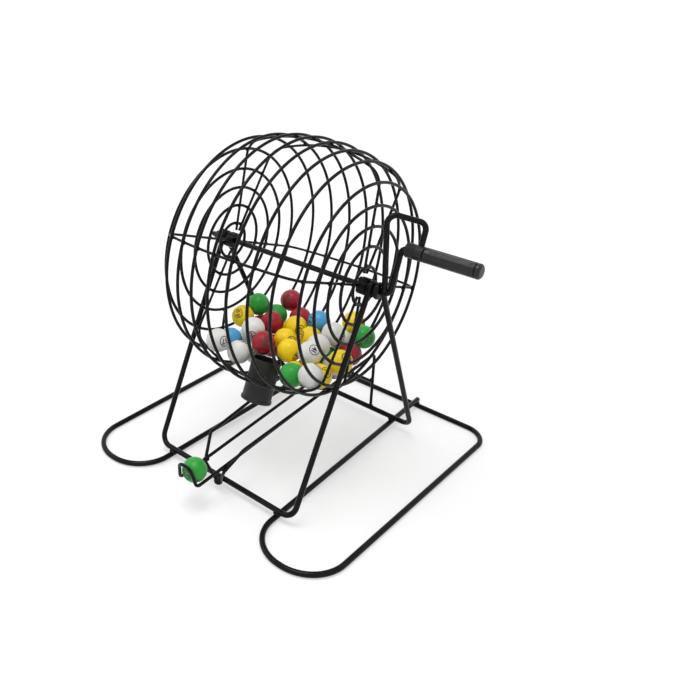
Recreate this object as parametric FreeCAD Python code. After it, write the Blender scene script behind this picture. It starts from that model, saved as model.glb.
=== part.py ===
"""Raffle drum with crank: a bent-wire cage that turns on a wire stand over a ball chute.

Units are millimetres. X runs along the axle and points to the crank, Y points to the
back, Z points up, and the floor is Z = 0. The drum is drawn with its outlet tube near
the bottom, just in front of the chute.
"""
import FreeCAD
import Part
import math
import os
from FreeCAD import Vector
from random import Random

# ---- driving dimensions ---------------------------------------------------------
STAND_WIRE = 5.0            # base, leg frames, axle and crank
RING_WIRE = 2.8             # cage rings
RIB_WIRE = 2.4              # cage ribs
CHUTE_WIRE = 3.0            # chute rails and guards
WELD = 0.10                 # how far welded wires sink into each other
RUNNING_GAP = 0.08          # radial clearance of a shaft in its eye or bore
FREE_GAP = 0.4              # clearance between turning and standing faces

AXLE_Z = 192.0              # axle height
CAGE_R = 114.0              # belt ring radius at the middle of the drum
CAP_X = 75.0                # half width of the cage, to the cap ring centres
BELT_R = 173.0              # radius of the barrel curve along the axle
SHOULDER_R = 20.0           # radius of the corner between belt and cap
CAP_RING_RADII = (17.0, 34.5, 52.0, 70.0)
SHOULDER_RING_R = 89.5
BELT_RING_X = (0.0, 19.5, 39.0, 58.0)
TUBE_ANGLE = 202.0          # outlet tube, degrees from straight up towards the back
RIB_SPREAD = 11.5           # paired ribs stand this far each side of the tube
CROSS_RIB_ANGLE = 110.0     # the single rib that is joined to the hubs
RIB_START_R = 10.5          # inner ends of the paired ribs

BALL_D = 22.0
HEAP_COLOURS = """
    white red green white yellow yellow white white red yellow
    white red white blue red green yellow green yellow yellow
    green yellow yellow red white red white white white yellow
    yellow white blue red white green
"""                         # one word for each ball, from the bottom of the heap up
BALL_SPACING = BALL_D + 0.15
FILL_SEED = 7               # the heap is found by dropping balls at random places
FILL_TRIES = 700
FILL_SPREAD = 40.0          # how far round the axle, in degrees to each side

BASE_OUT_X = 138.5          # outer floor rails
BASE_IN_FRONT_X = 65.0      # inner floor rails at the front bends
BASE_IN_BACK_X = 57.5       # inner floor rails at the rear bar
BASE_FRONT_Y = -136.5       # foremost wire centre of the front U bends
BASE_BACK_Y = 142.0         # rear bar
BASE_CORNER_R = 22.0
RAIL_TAIL = 4.0             # overhang of wire ends past the bar they are welded to

LEG_FOOT_X = 80.0           # leg frame bars: half length
LEG_FOOT_Y = 93.0           # leg frame bars: distance in front and behind
LEG_BEND_R = 11.0
EYE_TURN = 262.0            # how far each leg curls round the axle, in degrees
EYE_FRONT_X = 83.2          # leg eyes on the axle
EYE_REAR_X = 89.1

CRANK_ANGLE = 20.0          # crank arm, degrees from straight up towards the back
CRANK_R = 40.0
CRANK_BEND_R = 4.5
ARM_X = 99.8
BRACE_X = ARM_X - STAND_WIRE + WELD
BRACE_TOP = (73.0, -4.5)    # inner upper corner: distance from the axle, degrees
BRACE_OUTER_R = 65.0        # outer upper corner, above the pin
BRACE_FOOT_X = 116.0
BRACE_BEND_R = 7.0
SEAT = 0.5                  # a wire end that is seated on another starts this far off its centre
COLLAR_X = (104.5, 120.5)
GRIP_X = (120.9, 166.0)
GRIP_D = 13.0
END_CAP_LENGTH = 4.0
AXLE_LEFT_X = -100.5
COLLAR_RIDGES = 4
GRIP_FLUTES = 10
FLUTE_R = 2.6               # radius of the long hollows in the grip
FLUTE_DEPTH = 0.45
HUB_D = 15.4
HUB_LENGTH = 9.0
HUB_INNER_X = CAP_X - 4.5
HUB_GROOVE_R = 3.0          # hollows between the six lobes of a hub
HUB_GROOVE_AT = 9.3
WASHER_D = 10.0
AXLE_STOP_D = 9.0
AXLE_STOP_LENGTH = 3.0

TUBE_BORE = 24.4
TUBE_WALL = 1.4
TUBE_R = (93.0, 132.0)      # inner and outer end, measured from the axle
TUBE_LIP = 2.5              # length of the thicker lip at the outer end
TUBE_LIP_RISE = 0.8

RAIL_X = 10.0               # chute rails, half spacing
RAIL_FRONT = (-131.5, 28.0)  # Y, Z where the rails turn up into the stop
RAIL_BACK = (94.0, 46.5)    # Y, Z of the rear ends
STOP_KNEE_Y = -137.0
STOP_TOP = (6.5, -141.3, 46.6)  # upper corners of the stop, which leans to the front
STOP_BENDS = (5.0, 6.0)     # bend radii at the knees and at the upper corners
GUARD_POST_X = 33.5
GUARD_POST_TOPS = (73.0, 56.0)  # the right post is taller than the left one
GUARD_BEND = (19.8, -88.1, 45.0)
CRADLE_BEND = (11.4, -104.1, 26.4)  # where the guard turns under the rails
CRADLE_FOOT_X = 2.2
CRADLE_LUMP_R = 3.6         # weld that joins the cradle to the floor bar
GUARD_BEND_R = 3.5
CALLED_BALL_Y = -129.2

HALF_WIRE = STAND_WIRE / 2
BALL_R = BALL_D / 2
X_AXIS = Vector(1, 0, 0)


# ---- small helpers ----------------------------------------------------------------
def radial(angle):
    """Unit vector at right angles to the axle, angle degrees back from straight up."""
    a = math.radians(angle)
    return Vector(0, math.sin(a), math.cos(a))


def drum_point(x, r, angle):
    """A point in drum coordinates: along the axle, out from it, and round it."""
    return Vector(x, 0, AXLE_Z) + radial(angle) * r


def bent_path(points, bend_radii):
    """Straight runs through the points, joined by tangent arcs, one radius per corner."""
    edges = []
    start = points[0]
    for before, corner, after, bend_radius in zip(points, points[1:], points[2:], bend_radii):
        back = (before - corner).normalize()
        ahead = (after - corner).normalize()
        half_turn = (math.pi - back.getAngle(ahead)) / 2
        run = bend_radius * math.tan(half_turn)
        middle = (back + ahead).normalize()
        nearest = corner + middle * (bend_radius / math.cos(half_turn) - bend_radius)
        edges.append(Part.LineSegment(start, corner + back * run).toShape())
        edges.append(Part.Arc(corner + back * run, nearest, corner + ahead * run).toShape())
        start = corner + ahead * run
    edges.append(Part.LineSegment(start, points[-1]).toShape())
    return edges


def swept_wire(edges, diameter):
    """A round wire swept along the edges."""
    spine = Part.Wire(edges)
    first = edges[0]
    at = first.valueAt(first.FirstParameter)
    along = first.tangentAt(first.FirstParameter)
    section = Part.Wire(Part.Circle(at, along, diameter / 2).toShape())
    return spine.makePipeShell([section], True, False)


def bent_wire(points, bend_radius, diameter):
    """A round wire through the points with the same radius at every bend."""
    return swept_wire(bent_path(points, [bend_radius] * (len(points) - 2)), diameter)


def mirrored_x(points):
    return [Vector(-p.x, p.y, p.z) for p in points]


def ring(x, radius, diameter):
    """A closed ring of wire round the axle."""
    return Part.makeTorus(radius, diameter / 2, Vector(x, 0, AXLE_Z), X_AXIS)


def disc(x0, x1, diameter, bore):
    """A round collar or washer on the axle from x0 to x1."""
    outer = Part.makeCylinder(diameter / 2, x1 - x0, Vector(x0, 0, AXLE_Z), X_AXIS)
    hole = Part.makeCylinder(bore / 2, x1 - x0 + 2, Vector(x0 - 1, 0, AXLE_Z), X_AXIS)
    return outer.cut(hole)


# ---- stand -------------------------------------------------------------------------
def inner_rail_point(side, y):
    """Wire centre of an inner floor rail: it climbs from the floor onto the rear bar."""
    climb = (y - BASE_FRONT_Y) / (BASE_BACK_Y - BASE_FRONT_Y)
    x = BASE_IN_FRONT_X + climb * (BASE_IN_BACK_X - BASE_IN_FRONT_X)
    return Vector(side * x, y, HALF_WIRE + climb * (STAND_WIRE - WELD))


def base_half(side):
    """Half of the floor wire: rail, front U bend, outer rail, corner and half the bar."""
    front_out = Vector(side * BASE_OUT_X, BASE_FRONT_Y, HALF_WIRE)
    corner = Vector(side * BASE_OUT_X, BASE_BACK_Y, HALF_WIRE)
    middle = Vector(0, BASE_BACK_Y, HALF_WIRE)
    points = [inner_rail_point(side, 0), inner_rail_point(side, BASE_FRONT_Y),
              front_out, corner, middle]
    bend_r = (BASE_OUT_X - BASE_IN_FRONT_X) / 2 - 0.5
    return swept_wire(bent_path(points, [bend_r, bend_r, BASE_CORNER_R]), STAND_WIRE)


def base_frame():
    """Two floor loops, open U bends at the front, joined by the rear cross bar."""
    halves = [base_half(1), base_half(-1)]
    tails = []
    for side in (1, -1):
        ends = [inner_rail_point(side, 0), inner_rail_point(side, BASE_BACK_Y + RAIL_TAIL)]
        tails.append(bent_wire(ends, 1, STAND_WIRE))
    return halves[0].fuse([halves[1]] + tails).removeSplitter()


def leg_frame(side, eye_x):
    """One wire bent to a U: a floor bar, two legs, and a curl round the axle on each leg.

    side is -1 for the front frame and 1 for the rear frame. The leg meets its curl on the
    outer side without a kink, and the curl goes over the axle and back underneath it.
    """
    bar_y = side * LEG_FOOT_Y
    foot = Vector(LEG_FOOT_X, bar_y, inner_rail_point(1, bar_y).z + STAND_WIRE - WELD)
    eye = Vector(eye_x, 0, AXLE_Z)
    eye_r = STAND_WIRE + RUNNING_GAP
    to_foot = foot - eye
    lean = math.acos(eye_r / to_foot.Length)
    to_foot.normalize()
    outward = (Vector(0, side, 0) - to_foot * (side * to_foot.y)).normalize()
    away = to_foot * math.cos(lean) + outward * math.sin(lean)
    top = eye + away * eye_r
    up = (top - foot).normalize()

    def on_curl(turn):
        a = math.radians(turn)
        return eye + (away * math.cos(a) + up * math.sin(a)) * eye_r

    curl = [on_curl(EYE_TURN), on_curl(EYE_TURN / 2), top]
    legs = bent_path([top, foot] + mirrored_x([foot, top]), [LEG_BEND_R] * 2)
    path = [Part.Arc(*curl).toShape()] + legs + [Part.Arc(*mirrored_x(curl)[::-1]).toShape()]
    return swept_wire(path, STAND_WIRE)


def rail_z(y):
    """Height of the chute rail centre: a straight fall to the front."""
    share = (y - RAIL_FRONT[0]) / (RAIL_BACK[0] - RAIL_FRONT[0])
    return RAIL_FRONT[1] + share * (RAIL_BACK[1] - RAIL_FRONT[1])


def chute_rails():
    """One wire: two rails that turn up at the front into an arch, which stops the ball."""
    back_y = RAIL_BACK[0] + RAIL_TAIL
    right = [Vector(RAIL_X, back_y, rail_z(back_y)),
             Vector(RAIL_X, STOP_KNEE_Y, rail_z(STOP_KNEE_Y)),
             Vector(*STOP_TOP)]
    path = bent_path(right + mirrored_x(right)[::-1], STOP_BENDS + STOP_BENDS[::-1])
    return swept_wire(path, CHUTE_WIRE)


def guard_half(side, post_top):
    """A rear post, the sloping guard beside the rail, and half of the cradle."""
    rear_bar = inner_rail_point(1, LEG_FOOT_Y).z + STAND_WIRE - WELD
    front_bar = inner_rail_point(1, -LEG_FOOT_Y).z + STAND_WIRE - WELD
    points = [Vector(GUARD_POST_X, LEG_FOOT_Y, rear_bar + HALF_WIRE - WELD),
              Vector(GUARD_POST_X, LEG_FOOT_Y, post_top),
              Vector(*GUARD_BEND),
              Vector(*CRADLE_BEND),
              Vector(CRADLE_FOOT_X, cradle_y(), front_bar)]
    if side < 0:
        points = mirrored_x(points)
    return bent_wire(points, GUARD_BEND_R, CHUTE_WIRE)


def cradle_y():
    """The weld under the cradle lies against the front of the front floor bar."""
    return -(LEG_FOOT_Y + HALF_WIRE + CRADLE_LUMP_R - WELD)


def chute_guard():
    """Both guards with the weld lump where their front ends meet."""
    right, left = [guard_half(side, top) for side, top in zip((1, -1), GUARD_POST_TOPS)]
    front_bar = inner_rail_point(1, -LEG_FOOT_Y).z + STAND_WIRE - WELD
    lump = Part.makeSphere(CRADLE_LUMP_R, Vector(0, cradle_y(), front_bar), Vector(0, 1, 0))
    return right.fuse([left, lump])


def chute_cross_wire():
    """A straight wire in front of the rear posts that carries the ends of the rails."""
    y = LEG_FOOT_Y - CHUTE_WIRE + WELD
    z = rail_z(y) - CHUTE_WIRE + WELD
    reach = GUARD_POST_X + CHUTE_WIRE
    return bent_wire([Vector(-reach, y, z), Vector(reach, y, z)], 1, CHUTE_WIRE)


# ---- cage --------------------------------------------------------------------------
def shoulder_centre():
    """Centre of the corner arc, in (x, radius), tangent to the cap and to the belt."""
    x = CAP_X - SHOULDER_R
    belt_centre = CAGE_R - BELT_R
    return x, belt_centre + math.sqrt((BELT_R - SHOULDER_R) ** 2 - x ** 2)


def belt_radius(x):
    """Radius of the barrel curve at x."""
    return CAGE_R - BELT_R + math.sqrt(BELT_R ** 2 - x ** 2)


def shoulder_x(radius):
    """Place along the axle of the corner curve at a given radius."""
    x, r = shoulder_centre()
    return x + math.sqrt(SHOULDER_R ** 2 - (radius - r) ** 2)


def ring_stations():
    """(x, radius) of every ring from the left cap to the right cap."""
    right = [(x, belt_radius(x)) for x in BELT_RING_X[1:]]
    right.append((shoulder_x(SHOULDER_RING_R), SHOULDER_RING_R))
    right += [(CAP_X, radius) for radius in reversed(CAP_RING_RADII)]
    left = [(-x, radius) for x, radius in reversed(right)]
    return left + [(0.0, CAGE_R)] + right


def rib(angle, start_radius):
    """One rib: out along the left cap, over the belt inside the rings, and back in."""
    inset = (RING_WIRE + RIB_WIRE) / 2 - WELD
    centre_x, centre_r = shoulder_centre()
    belt_centre = CAGE_R - BELT_R
    corner = SHOULDER_R - inset
    sweep = math.pi / 2 - math.atan2(centre_x, centre_r - belt_centre)

    def cap_end(side):
        return drum_point(side * (CAP_X - inset), start_radius, angle)

    def on_corner(side, turn):
        x = centre_x + corner * math.cos(turn)
        return drum_point(side * x, centre_r + corner * math.sin(turn), angle)

    def bend(side, first, last):
        middle = on_corner(side, sweep / 2)
        return Part.Arc(on_corner(side, first), middle, on_corner(side, last)).toShape()

    top = drum_point(0, CAGE_R - inset, angle)
    path = [Part.LineSegment(cap_end(-1), on_corner(-1, 0)).toShape(),
            bend(-1, 0, sweep),
            Part.Arc(on_corner(-1, sweep), top, on_corner(1, sweep)).toShape(),
            bend(1, sweep, 0),
            Part.LineSegment(on_corner(1, 0), cap_end(1)).toShape()]
    return swept_wire(path, RIB_WIRE)


def tube_cylinder(radius, r0, r1):
    """A cylinder on the outlet tube's centre line, from r0 to r1 out of the axle."""
    out = radial(TUBE_ANGLE)
    return Part.makeCylinder(radius, r1 - r0, drum_point(0, r0, TUBE_ANGLE), out)


def open_ring():
    """The middle ring, cut where the outlet tube passes through the belt."""
    tube = tube_cylinder(TUBE_BORE / 2 + TUBE_WALL - WELD / 4, TUBE_R[0], TUBE_R[1])
    return ring(0, CAGE_R, RING_WIRE).cut(tube)


def outlet_tube():
    """A moulded tube through the belt with a thicker lip at its outer end."""
    outer_r = TUBE_BORE / 2 + TUBE_WALL
    body = tube_cylinder(outer_r, TUBE_R[0], TUBE_R[1])
    lip = tube_cylinder(outer_r + TUBE_LIP_RISE, TUBE_R[1] - TUBE_LIP, TUBE_R[1])
    bore = tube_cylinder(TUBE_BORE / 2, TUBE_R[0] - 1, TUBE_R[1] + 1)
    return body.fuse(lip).cut(bore)


# ---- axle, hubs and crank --------------------------------------------------------------
def crank_point(x, r):
    return drum_point(x, r, CRANK_ANGLE)


def axle_crank():
    """One wire: the axle, the crank arm and the pin that the grip turns on."""
    pin_end = GRIP_X[1] + END_CAP_LENGTH - 1
    points = [Vector(AXLE_LEFT_X, 0, AXLE_Z), Vector(ARM_X, 0, AXLE_Z),
              crank_point(ARM_X, CRANK_R), crank_point(pin_end, CRANK_R)]
    return bent_wire(points, CRANK_BEND_R, STAND_WIRE)


def crank_brace():
    """A second wire from the axle up beside the arm, arched outwards and down to the pin."""
    top_r, top_angle = BRACE_TOP
    points = [drum_point(BRACE_X, SEAT, top_angle),
              drum_point(BRACE_X, top_r, top_angle),
              crank_point(BRACE_FOOT_X, BRACE_OUTER_R),
              crank_point(BRACE_FOOT_X, CRANK_R + SEAT)]
    return bent_wire(points, BRACE_BEND_R, STAND_WIRE).cut(axle_crank())


def round_edges(body, min_x=-math.inf):
    """The circular edges of a turned body, or only those beyond min_x."""
    circles = [e for e in body.Edges if e.Curve.TypeId == "Part::GeomCircle"]
    return [e for e in circles if e.Curve.Center.x > min_x]


def crank_sleeve(x_range, bore, rim_r):
    """A moulded sleeve round the crank pin with rounded rims."""
    length = x_range[1] - x_range[0]
    start = crank_point(x_range[0], CRANK_R)
    body = Part.makeCylinder(GRIP_D / 2, length, start, X_AXIS)
    body = body.makeFillet(rim_r, round_edges(body))
    return body.cut(Part.makeCylinder(bore / 2, length + 2, start - X_AXIS, X_AXIS))


def crank_collar():
    """The fixed collar that hides the weld of brace and pin, ridged at its inner end."""
    foot = crank_point(BRACE_FOOT_X, CRANK_R + SEAT)
    cuts = [Part.makeCylinder(HALF_WIRE, GRIP_D, foot, radial(CRANK_ANGLE))]
    for number in range(COLLAR_RIDGES):
        start = crank_point(COLLAR_X[0] + 1.6 + 1.8 * number, CRANK_R)
        around = Part.makeCylinder(GRIP_D / 2 + 1, 0.8, start, X_AXIS)
        cuts.append(around.cut(Part.makeCylinder(GRIP_D / 2 - 0.5, 0.8, start, X_AXIS)))
    return crank_sleeve(COLLAR_X, STAND_WIRE, 0.8).cut(cuts)


def crank_grip():
    """The sleeve that the hand holds, free to turn on the pin, with shallow long flutes."""
    flute_at = GRIP_D / 2 + FLUTE_R - FLUTE_DEPTH
    first, last = GRIP_X[0] + 3.5, GRIP_X[1] - 3.5
    cuts = []
    for number in range(GRIP_FLUTES):
        aside = radial(360 * number / GRIP_FLUTES) * flute_at
        start = crank_point(first, CRANK_R) + aside
        cuts.append(Part.makeCylinder(FLUTE_R, last - first, start, X_AXIS))
        cuts.append(Part.makeSphere(FLUTE_R, start))
        cuts.append(Part.makeSphere(FLUTE_R, start + X_AXIS * (last - first)))
    return crank_sleeve(GRIP_X, STAND_WIRE + 2 * RUNNING_GAP, 1.2).cut(cuts)


def grip_end_cap():
    """A domed push-on cap on the end of the pin, which keeps the grip on."""
    start = crank_point(GRIP_X[1] + FREE_GAP, CRANK_R)
    body = Part.makeCylinder(GRIP_D / 2, END_CAP_LENGTH, start, X_AXIS)
    body = body.makeFillet(2.5, round_edges(body, start.x + 1))
    socket_depth = END_CAP_LENGTH - 1 - FREE_GAP
    return body.cut(Part.makeCylinder(HALF_WIRE, socket_depth, start, X_AXIS))


def on_side(body, side):
    """The body as drawn at the crank end, or mirrored to the other end of the axle."""
    return body if side > 0 else body.mirror(Vector(0, 0, 0), X_AXIS)


def hub(side):
    """A hub with six lobes on the axle; the cross ribs end on two of the lobes."""
    body = Part.makeCylinder(HUB_D / 2, HUB_LENGTH, Vector(HUB_INNER_X, 0, AXLE_Z), X_AXIS)
    body = body.makeFillet(0.8, round_edges(body))
    cuts = [Part.makeCylinder(HALF_WIRE, HUB_LENGTH, Vector(HUB_INNER_X, 0, AXLE_Z), X_AXIS)]
    for number in range(6):
        start = drum_point(HUB_INNER_X, HUB_GROOVE_AT, CROSS_RIB_ANGLE + 30 + 60 * number)
        cuts.append(Part.makeCylinder(HUB_GROOVE_R, HUB_LENGTH, start, X_AXIS))
    return on_side(body.cut(cuts), side)


def axle_washer(side):
    """A thin washer between the hub and the leg eyes."""
    end = EYE_FRONT_X - HALF_WIRE - FREE_GAP
    return on_side(disc(HUB_INNER_X + HUB_LENGTH, end, WASHER_D, STAND_WIRE), side)


def axle_stop():
    """A push-on stop outside the left leg eyes."""
    end = -(EYE_REAR_X + HALF_WIRE + 2 * FREE_GAP)
    return disc(end - AXLE_STOP_LENGTH, end, AXLE_STOP_D, STAND_WIRE)


# ---- balls ----------------------------------------------------------------------------
def wall_inset():
    """How far inside the centre line of the cage a ball centre stays."""
    return RING_WIRE / 2 + RIB_WIRE + BALL_R + FREE_GAP


def depth_limit(x):
    """Greatest distance from the axle that a ball centre can have inside the ribs."""
    inset = wall_inset()
    centre_x, centre_r = shoulder_centre()
    past = abs(x) - centre_x
    if past <= 0:
        limit = CAGE_R - BELT_R + math.sqrt((BELT_R - inset) ** 2 - x ** 2)
    else:
        limit = centre_r + math.sqrt(max(0, (SHOULDER_R - inset) ** 2 - past ** 2))
    in_tube_path = abs(x) < TUBE_BORE / 2 + TUBE_WALL + BALL_R + FREE_GAP
    return min(limit, TUBE_R[0] - BALL_R - FREE_GAP) if in_tube_path else limit


def settle(x, angle, placed):
    """Lower a ball along its radius until it rests on the cage or on placed balls."""
    ray = radial(angle)
    depth = depth_limit(x)
    moved = True
    while moved:
        moved = False
        for other in placed:
            offset = other - Vector(x, 0, AXLE_Z)
            along = offset.dot(ray)
            clear = BALL_SPACING ** 2 - (offset.dot(offset) - along ** 2)
            if clear > 0 and abs(depth - along) < math.sqrt(clear) - 1e-6:
                depth = along - math.sqrt(clear)
                moved = True
    return drum_point(x, depth, angle)


def ball_places(count):
    """Fill the drum from the bottom: each ball takes the lowest free place it can find."""
    placed = []
    random = Random(FILL_SEED)
    reach = CAP_X - wall_inset()
    for _ in range(count):
        tries = []
        for _ in range(FILL_TRIES):
            angle = 180 + random.uniform(-FILL_SPREAD, FILL_SPREAD)
            tries.append(settle(random.uniform(-reach, reach), angle, placed))
        placed.append(min(tries, key=lambda spot: spot.z))
    return placed


def ball_groups():
    """The heap split by colour: one group of separate balls for each colour."""
    colours = HEAP_COLOURS.split()
    groups = {}
    for colour, place in zip(colours, ball_places(len(colours))):
        groups.setdefault(colour, []).append(Part.makeSphere(BALL_R, place))
    return groups


def called_ball():
    """The ball that has left the drum and rests against the stop of the chute."""
    slope = math.atan2(RAIL_BACK[1] - RAIL_FRONT[1], RAIL_BACK[0] - RAIL_FRONT[0])
    reach = BALL_R + CHUTE_WIRE / 2 + FREE_GAP
    rise = math.sqrt(reach ** 2 - RAIL_X ** 2)
    z = rail_z(CALLED_BALL_Y) + rise / math.cos(slope)
    return Part.makeSphere(BALL_R, Vector(0, CALLED_BALL_Y, z))


# ---- nodes ------------------------------------------------------------------------------
def stand_nodes():
    nodes = {
        "base_frame": base_frame(),
        "front_leg_frame": leg_frame(-1, EYE_FRONT_X),
        "rear_leg_frame": leg_frame(1, EYE_REAR_X),
        "chute_rails": chute_rails(),
        "chute_guard": chute_guard(),
        "chute_cross_wire": chute_cross_wire(),
    }
    for colour, balls in ball_groups().items():
        nodes["balls_" + colour] = Part.makeCompound(balls)
    return nodes


def cage_nodes():
    nodes = {}
    for number, (x, radius) in enumerate(ring_stations(), start=1):
        shape = open_ring() if x == 0 else ring(x, radius, RING_WIRE)
        nodes["cage_ring_%02d" % number] = shape
    pairs = [TUBE_ANGLE + turn + side * RIB_SPREAD for turn in (0, 180) for side in (-1, 1)]
    for number, angle in enumerate(pairs, start=1):
        nodes["cage_rib_%d" % number] = rib(angle, RIB_START_R)
    for number, angle in enumerate((CROSS_RIB_ANGLE, CROSS_RIB_ANGLE + 180), start=5):
        nodes["cage_rib_%d" % number] = rib(angle, HUB_D / 2 - WELD)
    nodes["outlet_tube"] = outlet_tube()
    return nodes


def axle_nodes():
    return {
        "axle_crank_wire": axle_crank(),
        "crank_brace": crank_brace(),
        "crank_collar": crank_collar(),
        "crank_grip": crank_grip(),
        "grip_end_cap": grip_end_cap(),
        "hub_left": hub(-1),
        "hub_right": hub(1),
        "axle_washer_left": axle_washer(-1),
        "axle_washer_right": axle_washer(1),
        "axle_stop": axle_stop(),
        "called_ball": called_ball(),
    }


def main():
    os.makedirs("parts", exist_ok=True)
    for group in (stand_nodes(), cage_nodes(), axle_nodes()):
        for name, shape in group.items():
            shape.exportStep("parts/%s.step" % name)


main()
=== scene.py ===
# %% [markdown]
# # A raffle drum with a crank
# This scene dresses a finished metal part: a cage of round wire that turns on a bent-wire
# stand, drops a numbered ball through a tube and lets it roll down a wire chute.
# The solids come from the part itself. They are the fixed frame, and nothing in it moves.
# Blender's share is what a solid leaves out: enamel, weld beads, ink and moulded plastic.

# %% Load the fixed frame
import math

import bmesh
import bpy
import numpy as np
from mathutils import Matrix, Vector


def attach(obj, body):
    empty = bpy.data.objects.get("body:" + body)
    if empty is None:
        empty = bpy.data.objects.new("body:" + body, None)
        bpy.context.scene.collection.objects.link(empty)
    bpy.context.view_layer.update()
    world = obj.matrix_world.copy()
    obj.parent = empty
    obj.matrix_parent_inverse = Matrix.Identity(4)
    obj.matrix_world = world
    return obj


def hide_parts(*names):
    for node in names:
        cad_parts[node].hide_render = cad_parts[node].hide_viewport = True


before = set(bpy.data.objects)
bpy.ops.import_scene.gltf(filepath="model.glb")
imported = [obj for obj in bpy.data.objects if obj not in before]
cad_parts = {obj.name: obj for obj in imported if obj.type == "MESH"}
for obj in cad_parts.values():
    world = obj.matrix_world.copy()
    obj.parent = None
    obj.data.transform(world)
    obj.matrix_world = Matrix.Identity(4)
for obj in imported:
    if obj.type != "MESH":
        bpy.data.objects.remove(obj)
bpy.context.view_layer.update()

# %% [markdown]
# ## How a wire becomes a surface
# A wire is a circle carried along a centre line. A curve object with a bevel could draw it,
# but its ends and its seams would stay out of reach, so the surface is worked out here as a
# grid of points: one direction follows the line, the other goes round it.
# Arrays do the work. One expression gives every point at once, with no loop over vertices.

# %% Small vector helpers
X_AXIS = np.array([1.0, 0.0, 0.0])
Y_AXIS = np.array([0.0, 1.0, 0.0])
Z_AXIS = np.array([0.0, 0.0, 1.0])


def unit(vectors):
    """Vectors divided by their length, so each is one long."""
    vectors = np.asarray(vectors, float)
    return vectors / np.linalg.norm(vectors, axis=-1, keepdims=True)


def point(x, y, z):
    """A place in the frame, in metres."""
    return np.array([x, y, z], float)


print("unit test:", unit([3, 0, 4]))

# %% [markdown]
# A bend in wire is made round a pin, so it is a true arc that meets both straight runs. A
# spline through the corners would swing past them; an arc worked out from the legs doesn't.

# %% Bend a line over round pins
ARC_STEP = math.radians(6)


def corner_arc(before, corner, after, radius):
    """Points of the arc that rounds one corner.

    With m the unit bisector of the corner and h half the turn, the centre is
    corner + m R / cos h, and a point is centre + R (-m cos a + s sin a) for a from -h to h,
    where s points from the first leg to the second.
    """
    back = unit(before - corner)
    ahead = unit(after - corner)
    half = (math.pi - math.acos(np.clip(back @ ahead, -1, 1))) / 2
    bisector = unit(back + ahead)
    across = unit(ahead - back)
    centre = corner + bisector * radius / math.cos(half)
    count = max(3, int(2 * half / ARC_STEP) + 2)
    turn = np.linspace(-half, half, count)[:, None]
    return centre + radius * (across * np.sin(turn) - bisector * np.cos(turn))


def bent_line(corners, radii):
    """Centre line of a bent wire: straight runs between the corners, an arc at each."""
    runs = [corners[:1]]
    for index, radius in enumerate(radii, start=1):
        before, corner, after = corners[index - 1:index + 2]
        runs.append(corner_arc(before, corner, after, radius))
    runs.append(corners[-1:])
    return np.vstack(runs)


def mirrored(points):
    """The same points on the other side of the middle plane, in reverse order."""
    return (np.asarray(points) * [-1, 1, 1])[::-1]


print("a right angle bend has", len(bent_line(np.eye(3), [0.2])), "points")

# %% [markdown]
# The circle has to stay square to the line and must not twist on the way. A reference
# direction that the wire never runs along gives both, and every wire here has one.

# %% Carry a circle along the line
def carried_circle(line, radii, reference, sides, closed=False):
    """Grid S(i, j) = P_i + r_i (cos a_j N_i + sin a_j B_i).

    P is the line and T its tangent, B_i is T_i x reference at unit length, N_i is B_i x T_i.
    The reference is any direction that the wire never runs along.
    """
    if closed:
        tangent = unit(np.roll(line, -1, axis=0) - np.roll(line, 1, axis=0))
    else:
        steps = np.linalg.norm(np.diff(line, axis=0), axis=1)
        tangent = unit(np.gradient(line, np.r_[0, np.cumsum(steps)], axis=0))
    side = unit(np.cross(tangent, reference))
    normal = np.cross(side, tangent)
    angle = np.linspace(0, 2 * np.pi, sides, endpoint=False)
    across = np.cos(angle)[None, :, None] * normal[:, None]
    circle = across + np.sin(angle)[None, :, None] * side[:, None]
    return line[:, None] + np.broadcast_to(radii, len(line))[:, None, None] * circle


def cut_ends(line, radius, rounding=0.3):
    """Extra points and radii at both ends, so that a cut end has a small rounded edge.

    Along the last stretch e = rounding R the radius is R - e (1 - cos t), t from 0 to 90.
    """
    edge = rounding * radius
    t = np.radians([0, 30, 60, 90])
    inward = edge * (1 - np.sin(t))[:, None]
    shrink = radius - edge * (1 - np.cos(t))
    first = line[0] + unit(line[1] - line[0]) * inward
    last = line[-1] + unit(line[-2] - line[-1]) * inward
    points = np.vstack([first[::-1], line[1:-1], last])
    return points, np.r_[shrink[::-1], np.full(len(line) - 2, radius), shrink]


print("rings, rods and bends now share one surface rule")

# %% [markdown]
# A grid becomes a surface when each point is joined to its next neighbours. A wire is a grid
# that closes round itself and has two ends; a ring or a pipe wall closes both ways.

# %% Turn a grid into faces
def grid_faces(rows, columns, wrap_rows=False):
    """Four-cornered faces of a grid whose columns always close on themselves."""
    row = np.arange(rows if wrap_rows else rows - 1)[:, None]
    column = np.arange(columns)[None, :]
    next_row = (row + 1) % rows
    next_column = (column + 1) % columns
    quads = np.stack([row * columns + column, next_row * columns + column,
                      next_row * columns + next_column, row * columns + next_column], axis=-1)
    return quads.reshape(-1, 4)


def grid_shell(grid, closed=False):
    """Points and faces of a grid; one that is open lengthwise gets a face on each end."""
    rows, columns = grid.shape[:2]
    faces = grid_faces(rows, columns, closed).tolist()
    if not closed:
        faces.append(list(range(columns)))
        faces.append(list(range((rows - 1) * columns, rows * columns)))
    return grid.reshape(-1, 3), faces


def joined(shells):
    """Several shells as one list of points and one list of faces."""
    points, faces, start = [], [], 0
    for shell_points, shell_faces in shells:
        points.append(shell_points)
        faces += [[start + corner for corner in face] for face in shell_faces]
        start += len(shell_points)
    return np.vstack(points), faces


print("a grid of 4 x 8 points has", len(grid_faces(4, 8)), "faces")

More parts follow.
